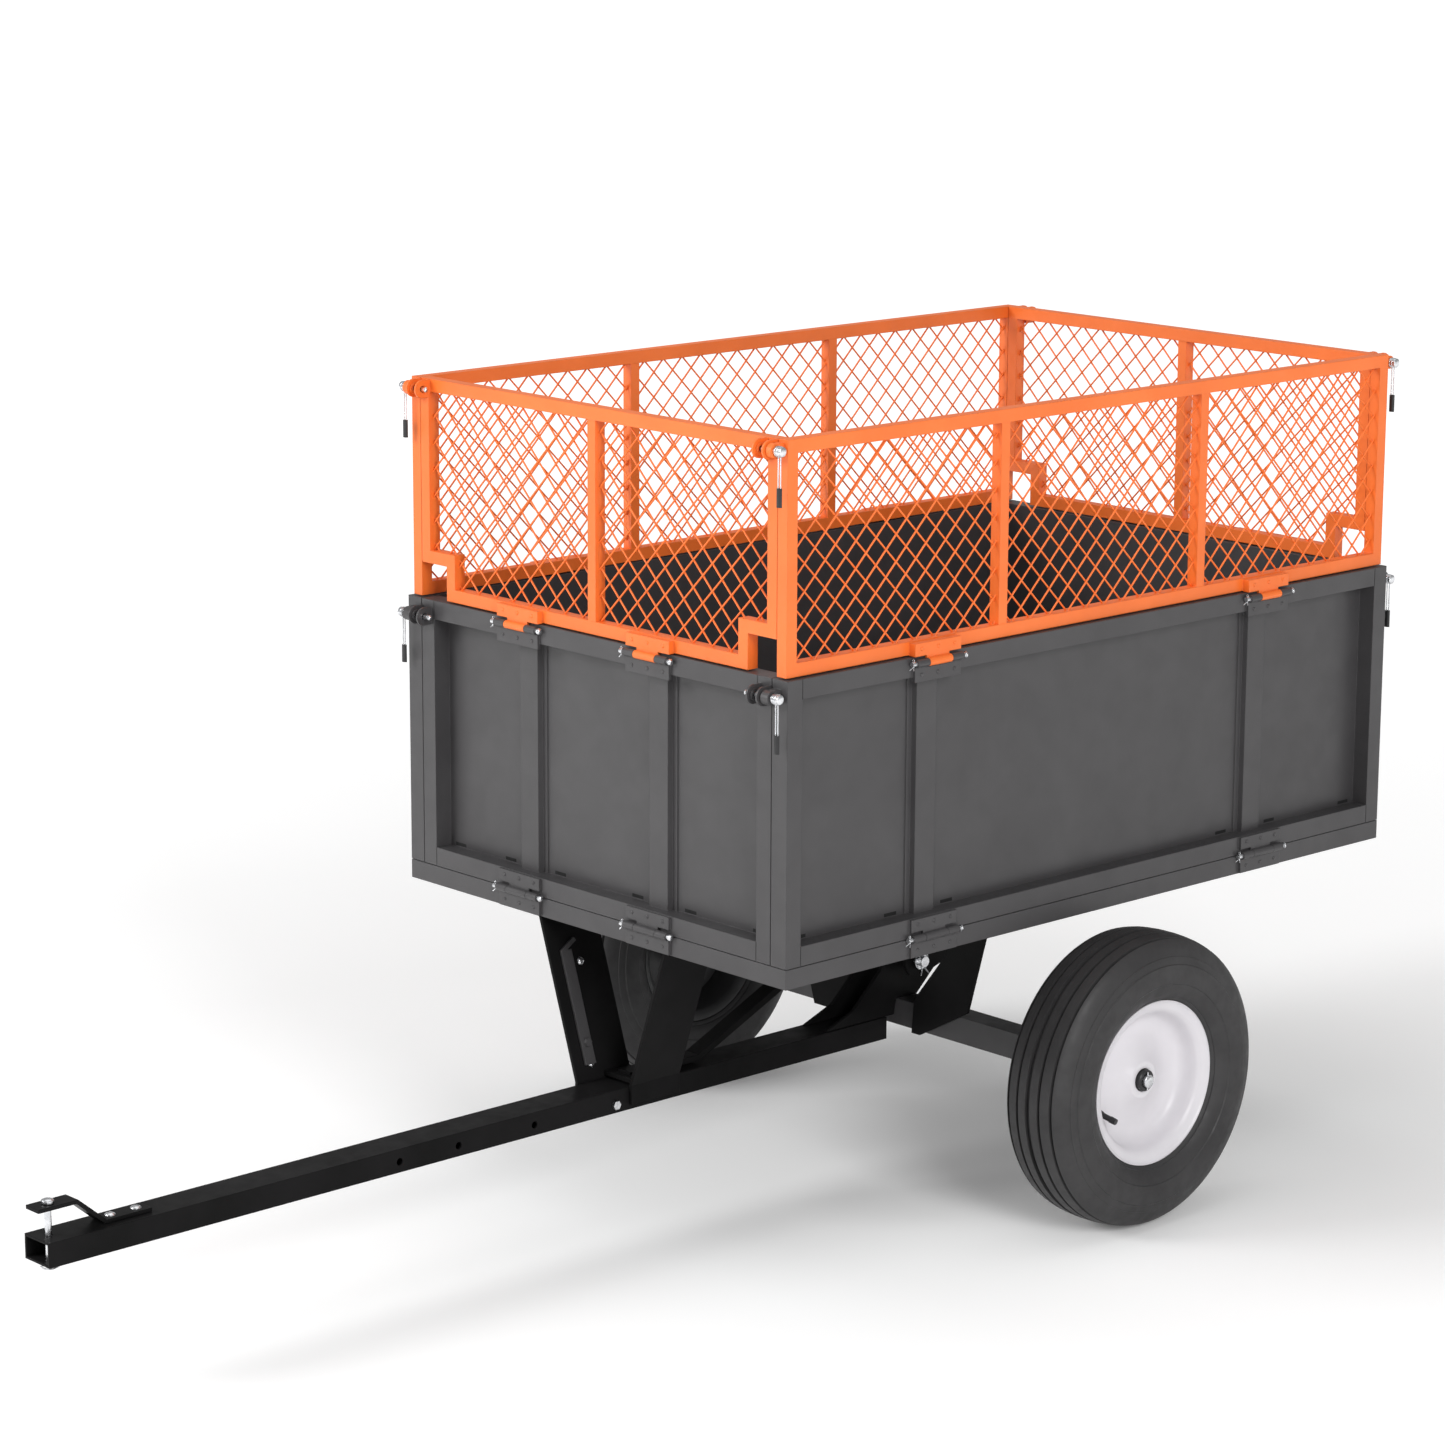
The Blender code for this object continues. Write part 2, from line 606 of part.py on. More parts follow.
# ---- drawbar and running gear --------------------------------------------------------
def drawbar():
    """Open rectangular tube with its cross-holes and the hitch pin's hole."""
    w = BAR_HALF_W
    tube = block((-w, w), (BAR_FRONT, BAR_REAR), (BAR_BOTTOM, BAR_TOP))
    hollow = block(
        (-w + BAR_WALL, w - BAR_WALL),
        (BAR_FRONT - 0.01, BAR_REAR + 0.01),
        (BAR_BOTTOM + BAR_WALL, BAR_TOP - BAR_WALL),
    )
    cutters = [hollow, rod("Z", (0.0, HITCH_Y), 0.0052, 0.15, 0.25, 20)]
    for y in (-0.9675, -0.8700, -0.7406):
        cutters.append(rod("X", (BED_Y + y, 0.2015), 0.0050, -0.05, 0.05, 16))
    cutters.append(rod("X", (BED_Y - 0.599, 0.199), 0.0045, -0.05, 0.05, 16))
    return finish(drill(tube, cutters), "drawbar", "black_powder")


def latch_bolt():
    y = BED_Y - 0.599
    shank = rod("X", (0.0, 0.0), 0.0040, -0.0265, 0.0285, 16)
    head = rod("X", (0.0, 0.0), 0.0065, 0.0264, 0.0310, 6)
    return finish(fuse([shank, head]), "latch_bolt", "bright_zinc", (0.0, y, 0.199))


def hitch_strap():
    """Cranked flat bar on top of the drawbar; the tongue goes between the two."""
    t = 0.005
    low = BAR_TOP + 0.0004
    high = 0.2545
    outline = [
        (-1.345, low), (-1.345, low + t), (-1.4115, low + t), (-1.4525, high + t),
        (-1.5100, high + t), (-1.5100, high), (-1.4550, high), (-1.4140, low),
    ]
    bar = prism("X", [(BED_Y + y, z) for y, z in outline], -0.0135, 0.0135)
    bar = drill(bar, [rod("Z", (0.0, HITCH_Y), 0.0052, 0.24, 0.28, 20)])
    return finish(bar, "hitch_strap", "black_powder")


def hitch_pin():
    shank = rod("Z", (0.0, 0.0), 0.0044, -0.082, 0.001, 20)
    head = rod("Z", (0.0, 0.0), 0.0080, 0.0004, 0.0040, 20)
    return finish(fuse([shank, head]), "hitch_pin", "bright_zinc", (0.0, HITCH_Y, 0.2600))


def axle_beam():
    b = BEAM_HALF
    y = (AXLE_Y - b, AXLE_Y + b)
    tube = block((-BEAM_END, BEAM_END), y, (AXLE_Z - b, AXLE_Z + b))
    wall = b - 0.003
    hollow = block((-0.4, 0.4), (AXLE_Y - wall, AXLE_Y + wall), (AXLE_Z - wall, AXLE_Z + wall))
    return finish(drill(tube, [hollow]), "axle_beam", "black_powder")


def axle_end(name, s):
    plug = BEAM_HALF - 0.0035
    body = block(sorted((s * (BEAM_END - 0.045), s * (BEAM_END - 0.001))), (-plug, plug), (-plug, plug))
    stub = rod("X", (0.0, 0.0), 0.0092, *sorted((s * (BEAM_END - 0.005), s * (WHEEL_X + 0.035))), 20)
    return finish(fuse([body, stub]), name, "bright_zinc", (0.0, AXLE_Y, AXLE_Z))


def pivot_lug(name, s):
    """Side plate that ties the drawbar to the axle beam and carries the pivot shaft."""
    seat = BAR_TOP + 0.0004
    outline = [
        (-0.205, seat), (-0.070, seat), (-0.066, BEAM_TOP + 0.0004), (-0.024, BEAM_TOP + 0.0004),
        (0.026, 0.2890), (0.016, 0.3215), (-0.076, 0.3215), (-0.0975, 0.2880), (-0.150, 0.240),
    ]
    x = sorted((s * LUG_X, s * (LUG_X + LUG_T)))
    plate = prism("X", [(BED_Y + y, z) for y, z in outline], *x)
    plate = drill(plate, [rod("X", (AXLE_Y, PIVOT_Z), 0.0084, -0.08, 0.08, 24)])
    return finish(plate, name, "black_powder")


def pivot_shaft():
    shaft = rod("X", (0.0, 0.0), 0.0080, -0.052, 0.052, 24)
    return finish(shaft, "pivot_shaft", "bright_zinc", (0.0, AXLE_Y, PIVOT_Z))


def wheel(side, s):
    """Tyre, pressed-steel rim and plastic bush on one end of the axle."""
    place = (s * WHEEL_X, AXLE_Y, AXLE_Z)
    tyre_half = [
        (0.0120, 0.0966), (0.0275, 0.1027), (0.0350, 0.1066), (0.0385, 0.1146), (0.0430, 0.1150),
        (0.0540, 0.1300), (0.0580, 0.1530), (0.0550, 0.1750), (0.0430, 0.1970),
    ]
    tyre_profile = [(x, r) for x, r in tyre_half] + [(0.0, TYRE_R)]
    tyre_profile += [(-x, r) for x, r in reversed(tyre_half)]
    tyre = turned(tyre_profile, 36)
    finish(tyre, f"tyre_{side}", "tyre_rubber", place)
    rim_profile = [
        (0.0240, 0.0157), (0.0240, 0.0260), (0.0060, 0.0620), (0.0060, 0.0790), (0.0150, 0.0900),
        (0.0340, 0.0965), (0.0420, 0.1090), (0.0420, RIM_R), (0.0395, RIM_R), (0.0360, 0.1055),
        (0.0280, 0.1015), (0.0120, 0.0955), (-0.0120, 0.0955), (-0.0280, 0.1015), (-0.0360, 0.1055),
        (-0.0395, RIM_R), (-0.0420, RIM_R), (-0.0340, 0.0985), (0.0000, 0.0885), (0.0000, 0.0600),
        (0.0170, 0.0225), (-0.0450, 0.0225), (-0.0450, 0.0157),
    ]
    rim = turned([(s * x, r) for x, r in rim_profile], 32)
    finish(rim, f"rim_{side}", "rim_paint", place)
    bush_profile = [(0.0264, 0.0098), (0.0264, 0.0150), (-0.0470, 0.0150), (-0.0470, 0.0098)]
    bush = turned([(s * x, r) for x, r in bush_profile], 28)
    finish(bush, f"bush_{side}", "bush_plastic", place)


def build():
    clear_scene()
    drawbar()
    hitch_strap()
    hitch_pin()
    latch_bolt()
    axle_beam()
    pivot_shaft()
    for side, s in (("left", 1), ("right", -1)):
        axle_end(f"axle_end_{side}", s)
        pivot_lug(f"pivot_lug_{side}", s)
        wheel(side, s)
    floor_frame()
    floor_sheet()
    saddle()
    strut("strut_left", 1, (-0.575, -0.488))
    strut("strut_right", -1, (-0.620, -0.525))
    strut_brace()
    tilt_lever()
    panels()
    latches()
    for obj in bpy.data.objects:
        obj.location.z -= GROUND_Z


build()
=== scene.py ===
import json
import math

import bmesh
import bpy
from mathutils import Matrix, Vector


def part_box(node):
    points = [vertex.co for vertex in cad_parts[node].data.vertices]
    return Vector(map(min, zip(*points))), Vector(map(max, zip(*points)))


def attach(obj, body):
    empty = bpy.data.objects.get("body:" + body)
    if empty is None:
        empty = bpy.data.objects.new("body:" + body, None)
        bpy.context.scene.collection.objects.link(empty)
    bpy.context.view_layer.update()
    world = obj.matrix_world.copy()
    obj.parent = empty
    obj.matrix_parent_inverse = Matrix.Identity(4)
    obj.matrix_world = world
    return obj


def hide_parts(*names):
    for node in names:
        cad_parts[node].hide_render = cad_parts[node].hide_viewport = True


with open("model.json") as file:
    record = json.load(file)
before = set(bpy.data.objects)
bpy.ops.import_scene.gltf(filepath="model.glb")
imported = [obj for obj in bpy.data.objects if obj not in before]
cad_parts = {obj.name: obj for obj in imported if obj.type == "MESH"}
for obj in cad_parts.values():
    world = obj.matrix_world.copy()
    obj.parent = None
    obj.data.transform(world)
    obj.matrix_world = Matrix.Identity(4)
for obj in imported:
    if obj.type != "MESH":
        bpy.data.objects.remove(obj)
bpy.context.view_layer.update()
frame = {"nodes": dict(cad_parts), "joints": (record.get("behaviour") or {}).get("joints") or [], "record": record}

SCENE = bpy.context.scene
JOINTS = {j["name"]: j for j in frame["joints"]}

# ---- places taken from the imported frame, in metres -----------------------------------
STRUT_REACH = 0.575  # the bed's datum line lies this far behind the struts' front edge
AXLE_Y = JOINTS["bed_tilt"]["pos_m"][1]
AXLE_Z = JOINTS["wheel_left_spin"]["pos_m"][2]
WHEEL_X = sum(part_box("tyre_left")[i][0] for i in (0, 1)) / 2
PIVOT_Z = JOINTS["bed_tilt"]["pos_m"][2]
BED_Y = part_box("strut_left")[0].y + STRUT_REACH
UPPER_PIN_Z = JOINTS["front_extension_fold"]["pos_m"][2]
TURNS = {"front": 0.0, "rear": math.pi, "left": math.pi / 2, "right": -math.pi / 2}

# ---- sizes of the sides, their hinges and the mesh ------------------------------------
HINGE_OUT = 0.006  # hinge pin's line, outside the panel's face
TUBE = 0.026
MESH_TUBE = 0.0175
MESH_INSET = {"front": 0.0045, "rear": 0.0045, "left": 0.0073, "right": 0.0073}
MESH_FRAME_PAST_SHEET = 0.0179
PANEL_PAST_MESH_FRAME = 0.0045
END_PANEL_HALF = 0.3495
PANEL_LOW, PANEL_HIGH = 0.0005, 0.3745  # above the lower hinge pin
END_HINGES = (-0.142, 0.119)
SIDE_HINGES = (-0.3265, 0.3265)
LEAF_FACE = 0.002
RIVET_SPACING = 0.030
WIRE_PITCH = 0.0254 * math.sqrt(2)
WIRE_R = 0.0013
NOTCH_X = 0.3005
NOTCH_TOP = UPPER_PIN_Z + 0.057
SMOOTH_ANGLE = 40  # degrees; sharper edges than this stay crisp


def is_end(side):
    return side in ("front", "rear")


def hinges(side):
    return END_HINGES if is_end(side) else SIDE_HINGES


def side_frame_half():
    """Half the length of the mesh frames along the cart's two long sides."""
    low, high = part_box("left_mesh")
    return (high.y - low.y) / 2 + MESH_FRAME_PAST_SHEET


def panel_matrix(side, tier):
    """From a panel's own frame (along, inwards, up from its hinge pins) to the world."""
    joint = f"{side}_side_drop" if tier == "side" else f"{side}_extension_fold"
    return Matrix.Translation(JOINTS[joint]["pos_m"]) @ Matrix.Rotation(TURNS[side], 4, "Z")


# ---- materials -----------------------------------------------------------------------
def new_material(name):
    made = bpy.data.materials.new(name)
    made.use_nodes = True
    tree = made.node_tree
    return made, tree, tree.nodes["Principled BSDF"]


def noise(tree, scale, detail=4.0, rough=0.55):
    coords = tree.nodes.new("ShaderNodeTexCoord")
    tex = tree.nodes.new("ShaderNodeTexNoise")
    tex.inputs["Scale"].default_value = scale
    tex.inputs["Detail"].default_value = detail
    tex.inputs["Roughness"].default_value = rough
    tree.links.new(coords.outputs["Object"], tex.inputs["Vector"])
    return tex.outputs["Fac"]


def ramp(tree, source, low, high, at=(0.35, 0.65)):
    node = tree.nodes.new("ShaderNodeValToRGB")
    node.color_ramp.elements[0].position = at[0]
    node.color_ramp.elements[1].position = at[1]
    node.color_ramp.elements[0].color = low if len(low) == 4 else (*low, 1.0)
    node.color_ramp.elements[1].color = high if len(high) == 4 else (*high, 1.0)
    tree.links.new(source, node.inputs["Fac"])
    return node.outputs["Color"]


def grey(value):
    return (value, value, value, 1.0)


def bump(tree, shader, height, strength, distance, soft_edge=0.0):
    node = tree.nodes.new("ShaderNodeBump")
    node.inputs["Strength"].default_value = strength
    node.inputs["Distance"].default_value = distance
    tree.links.new(height, node.inputs["Height"])
    if soft_edge:
        edge = tree.nodes.new("ShaderNodeBevel")
        edge.samples = 4
        edge.inputs["Radius"].default_value = soft_edge
        tree.links.new(edge.outputs["Normal"], node.inputs["Normal"])
    tree.links.new(node.outputs["Normal"], shader.inputs["Normal"])


def coated(name, dark, light, rough, soft_edge=0.0014, coat=0.0, bumpiness=0.12, specular=0.5):
    """Powder coat or paint: a fine orange peel, and faint changes of tone and gloss."""
    made, tree, shader = new_material(name)
    tree.links.new(ramp(tree, noise(tree, 9.0), dark, light), shader.inputs["Base Color"])
    gloss = ramp(tree, noise(tree, 35.0), grey(rough[0]), grey(rough[1]))
    tree.links.new(gloss, shader.inputs["Roughness"])
    shader.inputs["Coat Weight"].default_value = coat
    shader.inputs["Coat Roughness"].default_value = 0.25
    shader.inputs["Specular IOR Level"].default_value = specular
    bump(tree, shader, noise(tree, 900.0, 2.0), bumpiness, 0.0004, soft_edge)
    return made


def plated(name, dark, light, rough, soft_edge=0.0008):
    """Zinc plate or bare steel: metallic, with a cloudy finish."""
    made, tree, shader = new_material(name)
    tree.links.new(ramp(tree, noise(tree, 120.0), dark, light), shader.inputs["Base Color"])
    gloss = ramp(tree, noise(tree, 260.0), grey(rough[0]), grey(rough[1]))
    tree.links.new(gloss, shader.inputs["Roughness"])
    shader.inputs["Metallic"].default_value = 1.0
    bump(tree, shader, noise(tree, 700.0, 3.0), 0.08, 0.0003, soft_edge)
    return made


def moulded(name, dark, light, rough, grain, soft_edge=0.0008):
    """Rubber or plastic: dark, with a fine grain."""
    made, tree, shader = new_material(name)
    tree.links.new(ramp(tree, noise(tree, 14.0), dark, light), shader.inputs["Base Color"])
    gloss = ramp(tree, noise(tree, 60.0), grey(rough[0]), grey(rough[1]))
    tree.links.new(gloss, shader.inputs["Roughness"])
    bump(tree, shader, noise(tree, grain, 3.0), 0.15, 0.0004, soft_edge)
    return made


def stranded(name):
    """Wire rope: bright strands laid round the rope's own length, with the dark bands between them as painted
    shade in the grooves.
    """
    made, tree, shader = new_material(name)
    coords = tree.nodes.new("ShaderNodeTexCoord")
    wave = tree.nodes.new("ShaderNodeTexWave")
    wave.bands_direction = "DIAGONAL"
    wave.inputs["Scale"].default_value = 320.0
    tree.links.new(coords.outputs["Object"], wave.inputs["Vector"])
    strands = wave.outputs["Fac"]
    # The dark bands of the strand pattern are painted shade in the grooves between the strands.
    colour = ramp(tree, strands, (0.42, 0.43, 0.45), (0.86, 0.87, 0.89), (0.1, 0.7))
    tree.links.new(colour, shader.inputs["Base Color"])
    gloss = ramp(tree, noise(tree, 300.0), grey(0.25), grey(0.4))
    tree.links.new(gloss, shader.inputs["Roughness"])
    shader.inputs["Metallic"].default_value = 0.9
    bump(tree, shader, strands, 0.6, 0.0003)
    return made


ORANGE_TONES = ((0.80, 0.155, 0.020), (0.88, 0.178, 0.027), (0.38, 0.48))
BLACK = coated("black powder coat", (0.046, 0.044, 0.046), (0.054, 0.052, 0.054), (0.36, 0.46))
# The chassis parts' black is glossy paint, but its colour and its specular are turned far below the body's black
# so that these parts render near black: this extra darkness is painted shade.
SHADED_GLOSS_BLACK = coated(
    "glossy black paint with painted shade", (0.008, 0.008, 0.008), (0.012, 0.0115, 0.012), (0.30, 0.40), specular=0.04
)
ORANGE = coated("orange powder coat", *ORANGE_TONES, bumpiness=0.08)
WIRE_ORANGE = coated("orange coated wire", *ORANGE_TONES, soft_edge=0.0)
PALE = coated(
    "pale grey rim paint", (0.66, 0.64, 0.67), (0.71, 0.69, 0.72), (0.34, 0.44),
    soft_edge=0.0010, coat=0.1, bumpiness=0.05,
)
# The rim's inner half is the same rim, coloured near black as painted shade for the shade inside the wheel under
# the cart.
RIM_BACK_PAINTED_SHADE = coated(
    "rim back with painted shade", (0.020, 0.020, 0.021), (0.030, 0.030, 0.031), (0.40, 0.50), soft_edge=0.0
)
ZINC = plated("bright zinc plate", (0.62, 0.63, 0.65), (0.84, 0.85, 0.87), (0.18, 0.34))
RUBBER = moulded(
    "tyre rubber", (0.022, 0.021, 0.022), (0.030, 0.029, 0.030), (0.50, 0.64), 500.0, soft_edge=0.0
)
PLASTIC = moulded(
    "black plastic", (0.010, 0.010, 0.011), (0.018, 0.018, 0.019), (0.38, 0.52), 800.0
)
ROPE = stranded("wire rope")
SEAM_AND_SLOT_SHADE = moulded(
    "dark seam and painted slot shade", (0.002, 0.002, 0.002), (0.005, 0.005, 0.005), (0.7, 0.9), 800.0, soft_edge=0.0
)
CAD_FINISH = {
    "black_powder": BLACK, "orange_powder": ORANGE, "rim_paint": PALE, "bright_zinc": ZINC,
    "tyre_rubber": RUBBER, "bush_plastic": PLASTIC, "steel_rope": ROPE, "sleeve_plastic": PLASTIC,
}
# Parts given the near-black glossy paint with painted shade.
SHADED_GLOSS_NODES = (
    "drawbar", "hitch_strap", "pivot_lug_left", "pivot_lug_right", "saddle",
    "strut_left", "strut_right", "strut_brace",
)


def paint_cad_nodes():
    slots = {s["node"]: s["material_slot"] for s in frame["record"]["subparts"]}
    for name, obj in frame["nodes"].items():
        for place in obj.material_slots:
            place.link = "OBJECT"
            place.material = SHADED_GLOSS_BLACK if name in SHADED_GLOSS_NODES else CAD_FINISH[slots[name]]


# ---- building pieces -----------------------------------------------------------------
def add_piece(name, bm, finish, body, smooth_angle=SMOOTH_ANGLE):
    """One visible object from a bmesh, with its finish, slot and the body it rides on."""
    bmesh.ops.recalc_face_normals(bm, faces=bm.faces)
    mesh = bpy.data.meshes.new(name)
    bm.to_mesh(mesh)
    bm.free()
    mesh.materials.append(finish)
    if smooth_angle is not None:
        mesh.shade_smooth()
        mesh.set_sharp_from_angle(angle=math.radians(smooth_angle))
    obj = bpy.data.objects.new(name, mesh)
    SCENE.collection.objects.link(obj)
    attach(obj, body)
    return obj


def put_cylinder(bm, start, end, radius, sides=16, end_radius=None):
    """A cylinder, or a taper when the far end has a radius of its own."""
    start, end = Vector(start), Vector(end)
    way = end - start
    turn = way.to_track_quat("Z", "Y").to_matrix().to_4x4()
    place = Matrix.Translation((start + end) / 2) @ turn
    last = radius if end_radius is None else end_radius
    bmesh.ops.create_cone(
        bm, cap_ends=True, segments=sides, radius1=radius, radius2=last,
        depth=way.length, matrix=place,
    )


def put_box(bm, x, y, z):
    """A block between two values on each axis."""
    made = bmesh.ops.create_cube(bm, size=1.0)["verts"]
    size = Vector((x[1] - x[0], y[1] - y[0], z[1] - z[0]))
    middle = Vector((x[0] + x[1], y[0] + y[1], z[0] + z[1])) / 2
    bmesh.ops.scale(bm, vec=size, verts=made)
    bmesh.ops.translate(bm, vec=middle, verts=made)


def circle(steps):
    """Angles evenly round a full turn."""
    return [2 * math.pi * k / steps for k in range(steps)]


def join_rings(bm, rings):
    """Walls between neighbouring rings of vertices."""
    for low, high in zip(rings, rings[1:]):
        for k in range(len(low)):
            n = (k + 1) % len(low)
            bm.faces.new((low[k], low[n], high[n], high[k]))


def put_dome(bm, centre, way, radius, height, sides=14):
    """A low rounded rivet or bolt head standing on a face."""
    way = Vector(way).normalized()
    turn = way.to_track_quat("Z", "Y").to_matrix().to_4x4()
    rings = []
    for t in (0.0, 0.35, 0.65, 0.88):
        r = radius * math.cos(t * math.pi / 2)
        h = height * math.sin(t * math.pi / 2)
        rings.append([
            bm.verts.new(Vector(centre) + turn @ Vector((r * math.cos(a), r * math.sin(a), h)))
            for a in circle(sides)
        ])
    join_rings(bm, rings)
    bm.faces.new(rings[-1])
    bm.faces.new(list(reversed(rings[0])))


def put_lathe(bm, profile, sides, centre):
    """A closed profile of (x, radius) points turned about the X axis through a centre."""
    ring = [bm.verts.new((centre[0] + x, centre[1], centre[2] - r)) for x, r in profile]
    edges = [bm.edges.new(pair) for pair in zip(ring, ring[1:] + ring[:1])]
    bmesh.ops.spin(
        bm, geom=ring + edges, cent=centre, axis=(1, 0, 0), angle=2 * math.pi, steps=sides
    )
    bmesh.ops.remove_doubles(bm, verts=bm.verts, dist=1e-6)


def put_wire(bm, points, radius, sides=8):
    """A round wire bent through points."""
    spots = [Vector(p) for p in points]
    rings = []
    side = None
    for i, spot in enumerate(spots):
        ahead = (spots[min(i + 1, len(spots) - 1)] - spots[max(i - 1, 0)]).normalized()
        if side is None:
            side = ahead.orthogonal().normalized()
        side = (side - ahead * side.dot(ahead)).normalized()
        across = ahead.cross(side)
        rings.append([
            bm.verts.new(spot + radius * (math.cos(a) * side + math.sin(a) * across))
            for a in circle(sides)
        ])
    join_rings(bm, rings)
    bm.faces.new(rings[0])
    bm.faces.new(rings[-1])


# ---- camera, floor and light ----------------------------------------------------------
CAMERA_AT = (4.1767, BED_Y - 4.2317, 1.9575)
CAMERA_TURN, CAMERA_RISE, CAMERA_ROLL = 47.331, 12.781, 0.22  # degrees
FOCAL_MM = 106.99
FLOOR_RADIUS = 40.0
FLOOR_DROP = 0.0005  # keeps the floor just clear of the tyres
GLOW_START, GLOW_FULL = 1.2, 6.5  # metres from the middle over which the floor brightens
GLOW_NEAR, GLOW_FAR = 0.10, 0.72
SKY_STRENGTH = 0.38


def make_camera():
    lens = bpy.data.cameras.new("camera")
    lens.sensor_width = 36.0
    lens.lens = FOCAL_MM
    lens.clip_end = 60.0
    camera = bpy.data.objects.new("camera", lens)
    SCENE.collection.objects.link(camera)
    turn, rise, roll = (math.radians(v) for v in (CAMERA_TURN, CAMERA_RISE, CAMERA_ROLL))
    flat = math.cos(rise)
    back = Vector((math.sin(turn) * flat, -math.cos(turn) * flat, math.sin(rise)))
    right = Vector((math.cos(turn), math.sin(turn), 0.0))
    up = back.cross(right)
    x = math.cos(roll) * right + math.sin(roll) * up
    y = -math.sin(roll) * right + math.cos(roll) * up
    facing = Matrix((x, y, back)).transposed().to_4x4()
    camera.matrix_world = Matrix.Translation(CAMERA_AT) @ facing
    SCENE.camera = camera


def area_light(name, place, target, size, power):
    """A square soft box of one side length, facing its target."""
    lamp = bpy.data.lights.new(name, "AREA")
    lamp.shape = "RECTANGLE"
    lamp.size = lamp.size_y = size
    lamp.energy = power
    obj = bpy.data.objects.new(name, lamp)
    SCENE.collection.objects.link(obj)
    obj.location = place
    obj.rotation_euler = (Vector(target) - Vector(place)).to_track_quat("-Z", "Y").to_euler()


def make_stage():
    """A pale floor with a painted glow that rises away from the cart, so that it fades to white, and soft studio
    light.
    """
    bm = bmesh.new()
    bmesh.ops.create_circle(bm, cap_ends=True, segments=64, radius=FLOOR_RADIUS)
    mesh = bpy.data.meshes.new("floor")
    bm.to_mesh(mesh)
    bm.free()
    floor = bpy.data.objects.new("floor", mesh)
    floor.location.z = -FLOOR_DROP
    SCENE.collection.objects.link(floor)
    made, tree, shader = new_material("studio floor")
    colour = ramp(tree, noise(tree, 0.4), grey(0.90), grey(0.93))
    tree.links.new(colour, shader.inputs["Base Color"])
    shader.inputs["Roughness"].default_value = 0.9
    shader.inputs["Specular IOR Level"].default_value = 0.1
    place = tree.nodes.new("ShaderNodeTexCoord")
    away = tree.nodes.new("ShaderNodeVectorMath")
    away.operation = "LENGTH"
    # The floor's emission is a painted glow, rising with distance from the middle.
    glow = tree.nodes.new("ShaderNodeMapRange")
    limits = (GLOW_START, GLOW_FULL, GLOW_NEAR, GLOW_FAR)
    for socket, value in zip(("From Min", "From Max", "To Min", "To Max"), limits):
        glow.inputs[socket].default_value = value
    tree.links.new(place.outputs["Object"], away.inputs[0])
    tree.links.new(away.outputs["Value"], glow.inputs["Value"])
    tree.links.new(glow.outputs["Result"], shader.inputs["Emission Strength"])
    shader.inputs["Emission Color"].default_value = (1.0, 1.0, 1.0, 1.0)
    mesh.materials.append(made)
    world = bpy.data.worlds.new("studio")
    world.use_nodes = True
    sky = world.node_tree.nodes["Background"]
    sky.inputs["Color"].default_value = (1.0, 1.0, 1.0, 1.0)
    sky.inputs["Strength"].default_value = SKY_STRENGTH
    SCENE.world = world
    area_light("key", (-2.6, -5.0, 3.6), (0.0, 0.1, 0.6), 2.4, 250.0)
    area_light("side", (5.2, -1.6, 3.0), (0.0, 0.3, 0.6), 2.0, 170.0)
    area_light("top", (-0.5, 0.4, 5.5), (0.0, 0.4, 0.5), 5.0, 80.0)
    SCENE.view_settings.view_transform = "Standard"


# ---- ropes of the corner latches -----------------------------------------------------
# tier: name, kind of panel, pin's height, and the inner and outer ends of the pin's head
TIERS = (
    ("latch", "side", UPPER_PIN_Z - 0.014, 0.3675, 0.379),
    ("mesh_latch", "extension", UPPER_PIN_Z + 0.298, 0.3645, 0.376),
)
CORNERS = tuple((end, side) for end in ("front", "rear") for side in ("left", "right"))
ROPE_D = 0.0018
ROPE_SPREAD = 0.0021  # half the distance between the loop's two runs
ROPE_DROP = 0.058  # from the pin's middle to the start of the lower bend
ROPE_START = 0.0070
ROPE_STEPS = 9


def rope_route(x, y, z):
    """Down from the pin's head, round inside the sleeve, and back up."""
    top = z - ROPE_START
    bend = z - ROPE_DROP
    wide = ROPE_SPREAD
    runs = [i / ROPE_STEPS for i in range(ROPE_STEPS + 1)]
    down = [(x - wide, y, top + (bend - top) * t) for t in runs]
    low = [(x + wide * u, y, bend - wide * w) for u, w in ((-0.74, 0.68), (0.0, 1.0), (0.74, 0.68))]
    up = [(x + wide, y, bend + (top - bend) * t) for t in runs]
    return down + low + up


def pin_middle_y(label):
    low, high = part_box(f"{label}_pin")
    return (low.y + high.y) / 2


def make_ropes():
    """A loop of wire rope on each corner pin, held by its grip sleeve."""
    for tier, _, z, inner, outer in TIERS:
        for end, side in CORNERS:
            label = f"{tier}_{end}_{side}"
            x = (1 if side == "left" else -1) * (inner + outer) / 2
            route = rope_route(x, pin_middle_y(label), z)
            line = bpy.data.curves.new(f"{label}_wire_rope", "CURVE")
            line.dimensions = "3D"
            line.bevel_depth = ROPE_D / 2
            line.bevel_resolution = 3
            line.use_fill_caps = True
            spline = line.splines.new("POLY")
            spline.points.add(len(route) - 1)
            for spot, place in zip(spline.points, route):
                spot.co = (*place, 1.0)
            line.materials.append(ROPE)
            rope = bpy.data.objects.new(f"{label}_wire_rope", line)
            SCENE.collection.objects.link(rope)
            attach(rope, label)
            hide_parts(f"{label}_rope")


# ---- hinges ---------------------------------------------------------------------------
LOWER_LEAF_ROW = -0.0160  # heights of the rivet rows, from the hinge pin
MOVING_LEAF_ROW, MESH_LEAF_ROW = 0.0185, 0.0180
RIVET_R, RIVET_HEIGHT = 0.0029, 0.0014
HINGE_PIN_R, HINGE_HEAD_R = 0.0034, 0.0044
SPLIT_PIN_R = 0.0006
SPLIT_PIN_U = -0.0470  # where the split pin passes through, along the hinge pin
EYE_R, EYE_RISE = 0.0014, 0.0050


